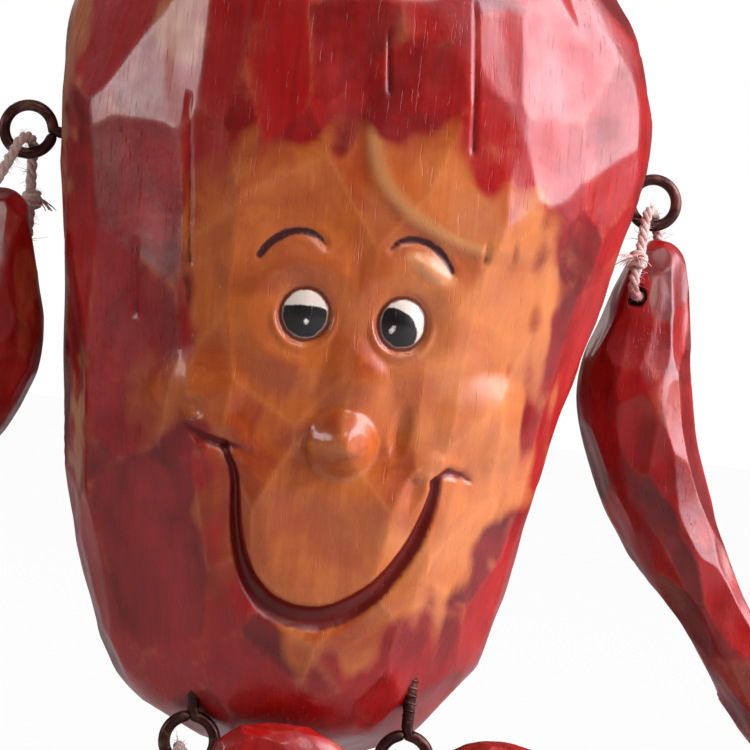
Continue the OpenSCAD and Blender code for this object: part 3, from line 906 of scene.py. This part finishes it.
def wires(name, lines, resolution=2):
    """One mesh of round wires; each line is (points in mm, radii in mm, whether it is closed)"""
    curve = bpy.data.curves.new(name + "_lines", "CURVE")
    curve.dimensions, curve.bevel_depth = "3D", MM
    curve.bevel_resolution, curve.use_fill_caps = resolution, True
    for points, radii, closed in lines:
        spline = curve.splines.new("POLY")
        spline.points.add(len(points) - 1)
        spline.use_cyclic_u = closed
        spline.points.foreach_set("co", np.hstack([points * MM, np.ones((len(points), 1))]).ravel())
        spline.points.foreach_set("radius", np.broadcast_to(radii, len(points)).astype(float))
    holder = bpy.data.objects.new(name + "_lines", curve)
    bpy.context.scene.collection.objects.link(holder)
    depsgraph = bpy.context.evaluated_depsgraph_get()
    mesh = bpy.data.meshes.new_from_object(holder.evaluated_get(depsgraph))
    mesh.name = name
    bpy.data.objects.remove(holder)
    bpy.data.curves.remove(curve)
    return mesh


class TwineSettings(bpy.types.PropertyGroup):
    lay: FloatProperty(name="Lay", description="Length of one twist of the twine, in mm", default=5.2,
                       min=2, max=12)
    hairs: IntProperty(name="Hairs", description="Loose fibres on each loop", default=520, min=0, max=1500)
    color: tint("Twine", "Colour of the cotton", (0.80, 0.62, 0.56))


class PUPPET_OT_twine(bpy.types.Operator):
    """Twist the four loops of twine, each closed with a knot"""
    bl_idname = "puppet.twine"
    bl_label = "Twine Loops"

    def execute(self, context):
        settings = context.scene.puppet_twine
        material = cotton_twine(settings)
        for number, limb in enumerate(LIMBS):
            rng = np.random.default_rng(90 + number)
            middle, side, across, length = loop_route(limb)
            count = len(middle)
            kinks = 0.13 * np.sin(np.arange(count) * 2 * math.pi * 5 / count + number)
            middle = middle + side * kinks[:, None]
            twists = round(length / settings.lay)
            lines = []
            for ply in range(3):
                turn = 2 * math.pi * (twists * np.arange(count) / count + ply / 3)
                away = np.cos(turn)[:, None] * side + np.sin(turn)[:, None] * across
                lines.append((middle + 0.47 * TWINE_RADIUS * away,
                              0.50 * TWINE_RADIUS * (1 + 0.07 * rng.normal(size=count)), True))
            lines += knot_lines(middle, side, across, 0.55 if "leg" in limb else 0.85, rng)
            for _ in range(settings.hairs):
                k = rng.integers(count)
                out = rng.normal(size=3)
                out /= np.linalg.norm(out)
                start = middle[k] + out * 0.8 * TWINE_RADIUS
                drift = rng.normal(size=3) * 0.45
                hair = np.array([start + out * t * rng.uniform(0.3, 1.0) + drift * t * t
                                 for t in np.linspace(0, rng.uniform(0.6, 1.5), 4)])
                lines.append((hair, np.array([0.045, 0.04, 0.03, 0.012]), False))
            mesh = wires("twine_" + limb, lines)
            dirt = read(mesh) / MM
            stained = smoothstep(5.0, 1.0, np.abs((dirt - joint_point(limb + "_aside"))[:, 2]))
            give(mesh, dirt=np.clip(stained + 0.35 * wobble(dirt, 6, 100 + number), 0, 1))
            finish_piece(mesh, "twine_" + limb, material, limb + "_loop", "twine", "cord_" + limb)
        return {"FINISHED"}


def knot_lines(middle, side, across, tails, rng):
    """A wrapped knot on the strand from the hole's far end, with two frayed tails whose reach is
    `tails` of the full one"""
    count = len(middle)
    at = int(count * 0.47)
    centre, ahead = middle[at], middle[at + 2] - middle[at - 2]
    ahead /= np.linalg.norm(ahead)
    out = side[at]
    lines = []
    for start, radius, pitch in ((0.0, 1.25, 1.05), (2.1, 1.15, -1.0)):
        t = np.linspace(-1.25, 1.25, 46)
        turn = 2 * math.pi * t + start
        round_it = np.cos(turn)[:, None] * out + np.sin(turn)[:, None] * across
        lines.append((centre + 0.35 * out + radius * round_it
                      + (t * pitch)[:, None] * ahead, 0.62 * (1 - 0.35 * (t / 1.25) ** 4), False))
    for lean in (-0.5, 0.55):
        for _ in range(9):
            t = np.linspace(0, 1, 7)[:, None]
            way = out * 0.7 + across * lean + rng.normal(size=3) * 0.16
            tail = centre + out * 1.2 + way * t * rng.uniform(3.6, 5.4) * tails - np.array((0, 0, 1.9)) * t**2
            lines.append((tail, np.linspace(0.24, 0.07, 7), False))
    return lines


def cotton_twine(settings):
    """Twisted cotton: fine fibres across the light, a little red rubbed in from the wood"""
    material, tree, shader = new_material("Cotton twine")
    place = put(tree, "ShaderNodeTexCoord").outputs["Object"]
    fibres = noise(tree, place, 3600, 3, 0.65)
    clouds = noise(tree, place, 320, 4, 0.6)
    cotton = tuple(settings.color)
    colour = blend(tree, ramp(tree, fibres, 0.36, 0.66), tuple(c * 0.62 for c in cotton), cotton)
    colour = blend(tree, times(tree, ramp(tree, clouds, 0.42, 0.68), 0.45), colour, (0.62, 0.36, 0.27))
    colour = blend(tree, times(tree, mark(tree, "dirt"), 0.7), colour, (0.30, 0.035, 0.03))
    tree.links.new(colour, shader.inputs["Base Color"])
    tree.links.new(ramp(tree, fibres, 0.3, 0.7, 0.72, 0.95).outputs[0], shader.inputs["Roughness"])
    shader.inputs["Sheen Weight"].default_value = 0.35
    shader.inputs["Sheen Roughness"].default_value = 0.5
    bump = put(tree, "ShaderNodeBump", {"Height": fibres, "Distance": 0.0002, "Strength": 0.7})
    tree.links.new(bump.outputs[0], shader.inputs["Normal"])
    return material


# ---------------------------------------------------------------- screw eyes

class ScrewEyeSettings(bpy.types.PropertyGroup):
    pitch: FloatProperty(name="Thread pitch", description="Rise of one turn of the thread, in mm",
                         default=1.3, min=0.8, max=3)
    color: tint("Iron", "Colour of the browned wire", (0.060, 0.026, 0.024))


class PUPPET_OT_screw_eyes(bpy.types.Operator):
    """Bend the four screw eyes from wire, with a thread on each buried shank"""
    bl_idname = "puppet.screw_eyes"
    bl_label = "Screw Eyes"

    def execute(self, context):
        settings = context.scene.puppet_screw_eyes
        material = browned_iron(settings)
        for limb in LIMBS:
            node = "screw_eye_" + limb
            low, high = (np.array(corner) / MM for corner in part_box(node))
            middle = (low + high) / 2
            wire = (high - low)[1] / 2
            if limb.endswith("arm"):
                ring = (high - low)[2] / 2
                side = -1 if limb.startswith("left") else 1
                shank, across = np.array((-side, 0, 0)), np.array((0, 0, 1))
                centre = np.array((low[0] + ring if side < 0 else high[0] - ring, middle[1], middle[2]))
                length = (high - low)[0] - ring
            else:
                ring = (high - low)[0] / 2
                shank, across = np.array((0, 0, 1)), np.array((1, 0, 0))
                centre = np.array((middle[0], middle[1], low[2] + ring))
                length = (high - low)[2] - ring
            bend = ring - wire
            tip = np.linspace(length, length - 3, 5)
            straight = np.linspace(length - 3.4, ring + 0.3, 24)
            arc = np.radians(np.linspace(6, 354, 72))
            line = [(0, t) for t in tip] + [(0, t) for t in straight]
            line += [(bend * math.sin(a), bend * math.cos(a)) for a in arc]
            radii = np.concatenate((np.linspace(0.12, wire, 5), np.full(len(line) - 5, wire)))
            radii[-3:] *= (0.97, 0.88, 0.66)
            line = np.array(line)
            path = centre + line[:, :1] * across + line[:, 1:] * shank
            turns = (length - ring - 2.6) / settings.pitch
            t = np.linspace(0, 1, int(turns * 20))
            spin = 2 * math.pi * turns * t
            depth = length - 0.8 - t * turns * settings.pitch
            girth = np.clip((length - depth) / 3, 0.25, 1) * wire
            thread = centre + depth[:, None] * shank + girth[:, None] * (
                np.cos(spin)[:, None] * across + np.sin(spin)[:, None] * np.cross(shank, across))
            crest = 0.22 * np.sin(math.pi * np.clip(t, 0.03, 0.97)) ** 0.3
            mesh = wires(node, [(path, radii, False), (thread, crest, False)], resolution=5)
            finish_piece(mesh, "iron_eye_" + limb, material, "figure", "dark_iron", node)
        return {"FINISHED"}


def browned_iron(settings):
    """Browned steel wire: dark skin, rubbed bright in flecks, dry brown rust in others"""
    material, tree, shader = new_material("Browned iron wire")
    place = put(tree, "ShaderNodeTexCoord").outputs["Object"]
    skin = noise(tree, place, 520, 6, 0.65, 0.4)
    rust = ramp(tree, noise(tree, place, 240, 5, 0.6), 0.48, 0.66)
    worn = ramp(tree, skin, 0.58, 0.72)
    colour = blend(tree, rust, tuple(settings.color), (0.13, 0.045, 0.028))
    colour = blend(tree, times(tree, worn, 0.5), colour, (0.32, 0.24, 0.22))
    tree.links.new(colour, shader.inputs["Base Color"])
    tree.links.new(ramp(tree, rust, 0, 1, 0.95, 0.35).outputs[0], shader.inputs["Metallic"])
    tree.links.new(ramp(tree, skin, 0.3, 0.7, 0.30, 0.62).outputs[0], shader.inputs["Roughness"])
    relief(tree, shader, skin, 0.0002, 0.35)
    return material


# ---------------------------------------------------------------- stick

class StickSettings(bpy.types.PropertyGroup):
    chamfer: FloatProperty(name="Chamfer", description="Chamfer on the stick's free end", default=0.0009,
                           min=0, max=0.003, unit="LENGTH")
    color: tint("Wood", "Colour of the bare wood", (0.62, 0.40, 0.21))


class PUPPET_OT_stick(bpy.types.Operator):
    """Turn the handle: a bare dowel with a chamfered end and a whittled end in the body"""
    bl_idname = "puppet.stick"
    bl_label = "Handle Stick"

    def execute(self, context):
        settings = context.scene.puppet_stick
        low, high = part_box("handle_stick")
        radius, chamfer = (high.x - low.x) / 2, settings.chamfer
        tenon = radius * 7.9 / 9.5
        outline = [(0.0, low.y), (tenon - chamfer, low.y), (tenon, low.y + chamfer), (tenon, -0.0002),
                   (radius - 0.0003, 0.0), (radius, 0.0004)]
        length = high.y - chamfer
        outline += [(radius, length * k / 90) for k in range(2, 90)]
        outline += [(radius, length), (radius - chamfer * 0.35, length + chamfer * 0.65),
                    (radius - chamfer, high.y), (radius * 0.45, high.y), (0.0, high.y)]
        bm = bmesh.new()
        corners = [bm.verts.new((x, y, 0)) for x, y in outline]
        edges = [bm.edges.new(pair) for pair in zip(corners[:-1], corners[1:])]
        bmesh.ops.spin(bm, geom=corners + edges, cent=(0, 0, 0), axis=(0, 1, 0), angle=2 * math.pi, steps=72,
                       use_merge=True)
        bmesh.ops.remove_doubles(bm, verts=bm.verts, dist=1e-6)
        bmesh.ops.recalc_face_normals(bm, faces=bm.faces)
        mesh = mesh_of(bm, "handle_dowel")
        co = read(mesh)
        dent = wobble(co / MM * (1, 0.12, 1), 7, 111) * 0.00006
        away = np.hypot(co[:, 0], co[:, 2])
        co[:, [0, 2]] *= (1 - np.abs(dent) / np.maximum(away, 1e-3))[:, None]
        mesh.vertices.foreach_set("co", co.ravel())
        give(mesh, grip=smoothstep(high.y * 0.35, high.y * 0.75, co[:, 1]))
        finish_piece(mesh, "handle_dowel", bare_dowel(settings), "figure", "bare_wood", "handle_stick")
        return {"FINISHED"}


def bare_dowel(settings):
    """Bare turned wood: growth rings cut lengthwise, fine pores, and a darker hand-worn grip"""
    material, tree, shader = new_material("Bare dowel wood")
    place, fibres = along_grain(tree, (1, 0.05, 1))
    offset = put(tree, "ShaderNodeMapping", {"Vector": place, "Location": (0.011, 0, 0.017),
                                             "Scale": (1, 0.10, 1)}).outputs[0]
    rings = put(tree, "ShaderNodeTexWave", {"Vector": offset, "Scale": 260, "Distortion": 2.6, "Detail": 3,
                                            "Detail Scale": 1.2}, wave_type="RINGS", rings_direction="Y")
    grain = placed(tree, wood_grain_group(), Where=fibres, Fineness=0.9)
    wood = tuple(settings.color)
    colour = blend(tree, ramp(tree, rings.outputs["Fac"], 0.35, 0.95), wood, (0.40, 0.215, 0.095))
    colour = blend(tree, times(tree, ramp(tree, grain.outputs["Streaks"], 0.42, 0.62), 0.4), colour,
                   (0.34, 0.18, 0.08))
    colour = blend(tree, times(tree, grain.outputs["Pores"], 0.5), colour, (0.16, 0.08, 0.04))
    smudge = times(tree, mark(tree, "grip"), ramp(tree, noise(tree, place, 60, 4), 0.4, 0.7))
    colour = blend(tree, times(tree, smudge, 0.4), colour, (0.27, 0.13, 0.065))
    tree.links.new(colour, shader.inputs["Base Color"])
    feed(tree, shader.inputs["Roughness"], ramp(tree, grain.outputs["Streaks"], 0.3, 0.7, 0.42, 0.66))
    relief(tree, shader, grain.outputs["Height"], 0.0003, 0.4)
    return material


# ---------------------------------------------------------------- stage

# Soft lights: (name, place from the body's middle in m, size, share of the key light's power, colour)
SOFT_LIGHTS = (("Key window", (0.62, -0.20, 0.36), 0.62, 1, (1.0, 0.92, 1.0)),
               ("Side sheen", (-0.66, -0.14, 0.14), 0.20, 0.10, (1.0, 0.9, 0.9)),
               ("Front fill", (0.15, -0.85, 0.85), 0.4, 0.28, (1.0, 0.95, 0.9)),
               ("Back fill", (-0.3, 0.9, 0.6), 0.7, 0.30, (1.0, 0.98, 0.96)))


class StageSettings(bpy.types.PropertyGroup):
    clearance: FloatProperty(name="Clearance", description="Gap between the lowest foot and the floor",
                             default=0.004, min=0, unit="LENGTH")
    turn: FloatProperty(name="Turn", description="How far the camera stands to the left of straight on",
                        default=math.radians(5), subtype="ANGLE")
    roll: FloatProperty(name="Roll", description="How far the camera is tipped anticlockwise",
                        default=math.radians(6), subtype="ANGLE")
    distance: FloatProperty(name="Distance", description="From the camera to the body's middle", default=0.42,
                            min=0.1, unit="LENGTH")
    view_width: FloatProperty(name="View width", default=0.1316, min=0.02, unit="LENGTH",
                              description="Width that the camera sees at the body's middle")
    key_power: FloatProperty(name="Key light", description="Power of the key light, in watts", default=12.0,
                             min=0)


class PUPPET_OT_stage(bpy.types.Operator):
    """Set the pale floor, the soft lights and the camera"""
    bl_idname = "puppet.stage"
    bl_label = "Stage"

    def execute(self, context):
        settings = context.scene.puppet_stage
        lay_floor(CAD_BOX[0].z - settings.clearance)
        middle = Vector((0, BODY_MIDDLE * MM, 0))
        for name, offset, size, share, color in SOFT_LIGHTS:
            soft_light(name, middle, offset, size, settings.key_power * share, color)
        world = bpy.data.worlds.new("Pale studio")
        context.scene.world = world
        world.use_nodes = True
        tree = world.node_tree
        sky = tree.nodes["Background"]
        sky.inputs["Color"].default_value = (1, 1, 1, 1)
        seen = put(tree, "ShaderNodeLightPath").outputs["Is Camera Ray"]
        strength = put(tree, "ShaderNodeMapRange", {"Value": seen, "To Min": 0.11, "To Max": 1.0})
        tree.links.new(strength.outputs[0], sky.inputs["Strength"])
        context.scene.view_settings.view_transform = "Standard"
        right = Vector((math.cos(settings.turn), -math.sin(settings.turn), 0))
        ahead = Vector((math.sin(settings.turn), math.cos(settings.turn), 0))
        target = middle + right * 0.0082 - Vector((0, 0, 0.0088))
        lens = bpy.data.cameras.new("Portrait")
        lens.sensor_width = 36
        lens.lens = 36 * settings.distance / settings.view_width
        lens.clip_start, lens.clip_end = 0.01, 20
        camera = bpy.data.objects.new("Portrait", lens)
        context.scene.collection.objects.link(camera)
        up = Vector((0, 0, 1))
        across = right * math.cos(settings.roll) + up * math.sin(settings.roll)
        above = up * math.cos(settings.roll) - right * math.sin(settings.roll)
        turn = Matrix((across, above, -ahead)).transposed().to_4x4()
        camera.matrix_world = Matrix.Translation(target - ahead * settings.distance) @ turn
        context.scene.camera = camera
        return {"FINISHED"}


def lay_floor(height):
    """A plain pale floor under the whole object"""
    bm = bmesh.new()
    bmesh.ops.create_circle(bm, cap_ends=True, segments=96, radius=6)
    bmesh.ops.translate(bm, vec=(0, 0, height), verts=bm.verts)
    mesh = mesh_of(bm, "pale_floor")
    material, tree, shader = new_material("Pale floor paper")
    place = put(tree, "ShaderNodeTexCoord").outputs["Object"]
    tooth = noise(tree, place, 300, 3)
    colour = blend(tree, tooth, (0.42, 0.42, 0.42), (0.50, 0.50, 0.50))
    tree.links.new(colour, shader.inputs["Base Color"])
    shader.inputs["Roughness"].default_value = 0.9
    paper = put(tree, "ShaderNodeEmission", {"Color": (1.0, 1.0, 1.0), "Strength": 1.0})
    seen = put(tree, "ShaderNodeLightPath").outputs["Is Camera Ray"]
    near = put(tree, "ShaderNodeMapRange", {"Value": seen, "To Min": 0.0, "To Max": 0.97})
    mixed = put(tree, "ShaderNodeMixShader", {0: near, 1: shader.outputs[0], 2: paper})
    tree.links.new(mixed.outputs[0], tree.nodes["Material Output"].inputs["Surface"])
    mesh.materials.append(material)
    floor = bpy.data.objects.new("pale_floor", mesh)
    bpy.context.scene.collection.objects.link(floor)


def soft_light(name, target, offset, size, power, color):
    """A square soft light that faces the target"""
    lamp = bpy.data.lights.new(name, "AREA")
    lamp.size, lamp.energy, lamp.color = size, power, color
    light = bpy.data.objects.new(name, lamp)
    light.location = target + Vector(offset)
    light.rotation_euler = (-Vector(offset)).to_track_quat("-Z", "Y").to_euler()
    bpy.context.scene.collection.objects.link(light)


class PUPPET_PT_panel(bpy.types.Panel):
    """Lists the puppet's pieces and their settings"""
    bl_label = "Stick Puppet"
    bl_idname = "PUPPET_PT_panel"
    bl_space_type = "VIEW_3D"
    bl_region_type = "UI"
    bl_category = "Puppet"

    def draw(self, context):
        for operator, name, group in PIECES:
            box = self.layout.box()
            box.operator(operator.bl_idname)
            settings = getattr(context.scene, name)
            for key in group.__annotations__:
                box.prop(settings, key)


PIECES = ((PUPPET_OT_body, "puppet_body", BodySettings), (PUPPET_OT_limbs, "puppet_limbs", LimbSettings),
          (PUPPET_OT_twine, "puppet_twine", TwineSettings),
          (PUPPET_OT_screw_eyes, "puppet_screw_eyes", ScrewEyeSettings),
          (PUPPET_OT_stick, "puppet_stick", StickSettings), (PUPPET_OT_stage, "puppet_stage", StageSettings))


def register():
    for operator, name, group in PIECES:
        bpy.utils.register_class(group)
        setattr(bpy.types.Scene, name, PointerProperty(type=group))
        bpy.utils.register_class(operator)
    bpy.utils.register_class(PUPPET_PT_panel)


def unregister():
    bpy.utils.unregister_class(PUPPET_PT_panel)
    for operator, name, group in reversed(PIECES):
        bpy.utils.unregister_class(operator)
        delattr(bpy.types.Scene, name)
        bpy.utils.unregister_class(group)


def main():
    register()
    bpy.ops.puppet.body()
    bpy.ops.puppet.limbs()
    bpy.ops.puppet.twine()
    bpy.ops.puppet.screw_eyes()
    bpy.ops.puppet.stick()
    bpy.ops.puppet.stage()


if __name__ == "__main__":
    main()
